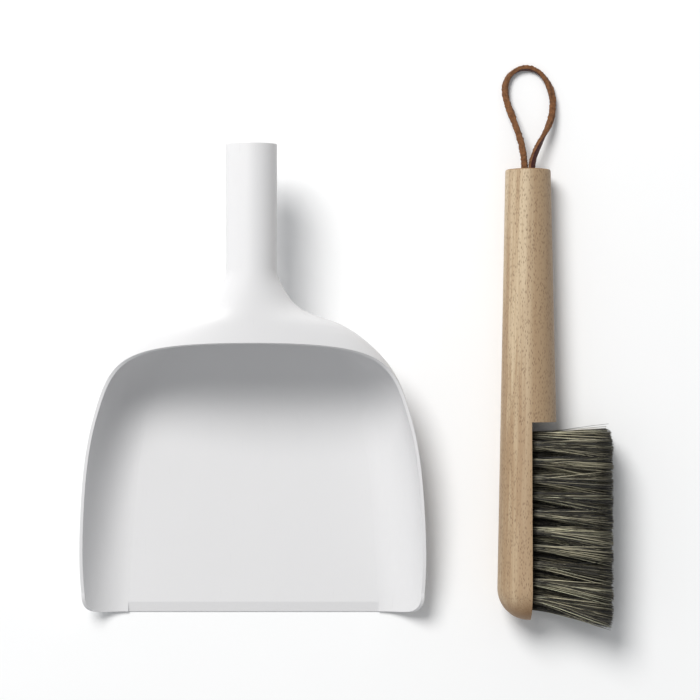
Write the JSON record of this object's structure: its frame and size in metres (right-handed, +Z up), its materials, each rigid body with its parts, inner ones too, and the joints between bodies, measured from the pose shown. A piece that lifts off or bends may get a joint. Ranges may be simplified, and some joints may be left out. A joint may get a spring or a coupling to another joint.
{
  "type": "dust pan and brush set",
  "caption": "Scoop dust pan with a hooded funnel into an open hollow handle, and a tapered wooden hand brush with bristle tufts on one side and a leather hanging loop.",
  "frame": {"origin": "middle of the set on the table, with the hanging loop left out", "axes": "+X from the pan to the brush and its bristles, +Y along both handles towards their ends, +Z up"},
  "size_m": [0.3514, 0.3727, 0.0725],
  "materials": {
    "pan_plastic": "satin white moulded plastic",
    "beech": "plain oiled beech with fine flecks",
    "bristle": "mixed dark and light natural hair",
    "lace": "tan suede with a dark cut edge",
    "anchor_wire": "flat drawn wire"
  },
  "bodies": {
    "pan": {"pan": "pan_plastic"},
    "brush": {"brush_stock": "beech", "tuft_anchors": "anchor_wire", "hanging_loop": "lace", "tuft_row_1_01": "bristle", "tuft_row_1_02": "bristle", "tuft_row_1_03": "bristle", "tuft_row_1_04": "bristle", "tuft_row_1_05": "bristle", "tuft_row_1_06": "bristle", "tuft_row_1_07": "bristle", "tuft_row_1_08": "bristle", "tuft_row_1_09": "bristle", "tuft_row_1_10": "bristle", "tuft_row_1_11": "bristle", "tuft_row_2_01": "bristle", "tuft_row_2_02": "bristle", "tuft_row_2_03": "bristle", "tuft_row_2_04": "bristle", "tuft_row_2_05": "bristle", "tuft_row_2_06": "bristle", "tuft_row_2_07": "bristle", "tuft_row_2_08": "bristle", "tuft_row_2_09": "bristle", "tuft_row_2_10": "bristle", "tuft_row_3_01": "bristle", "tuft_row_3_02": "bristle", "tuft_row_3_03": "bristle", "tuft_row_3_04": "bristle", "tuft_row_3_05": "bristle", "tuft_row_3_06": "bristle", "tuft_row_3_07": "bristle", "tuft_row_3_08": "bristle", "tuft_row_3_09": "bristle", "tuft_row_3_10": "bristle", "tuft_row_3_11": "bristle", "tuft_row_4_01": "bristle", "tuft_row_4_02": "bristle", "tuft_row_4_03": "bristle", "tuft_row_4_04": "bristle", "tuft_row_4_05": "bristle", "tuft_row_4_06": "bristle", "tuft_row_4_07": "bristle", "tuft_row_4_08": "bristle", "tuft_row_4_09": "bristle", "tuft_row_4_10": "bristle"}
  },
  "joints": [
    {"name": "brush_lift", "type": "slide", "parent": "pan", "child": "brush", "axis": [0, 0, 1], "range_m": [0, 0.12]}
  ]
}
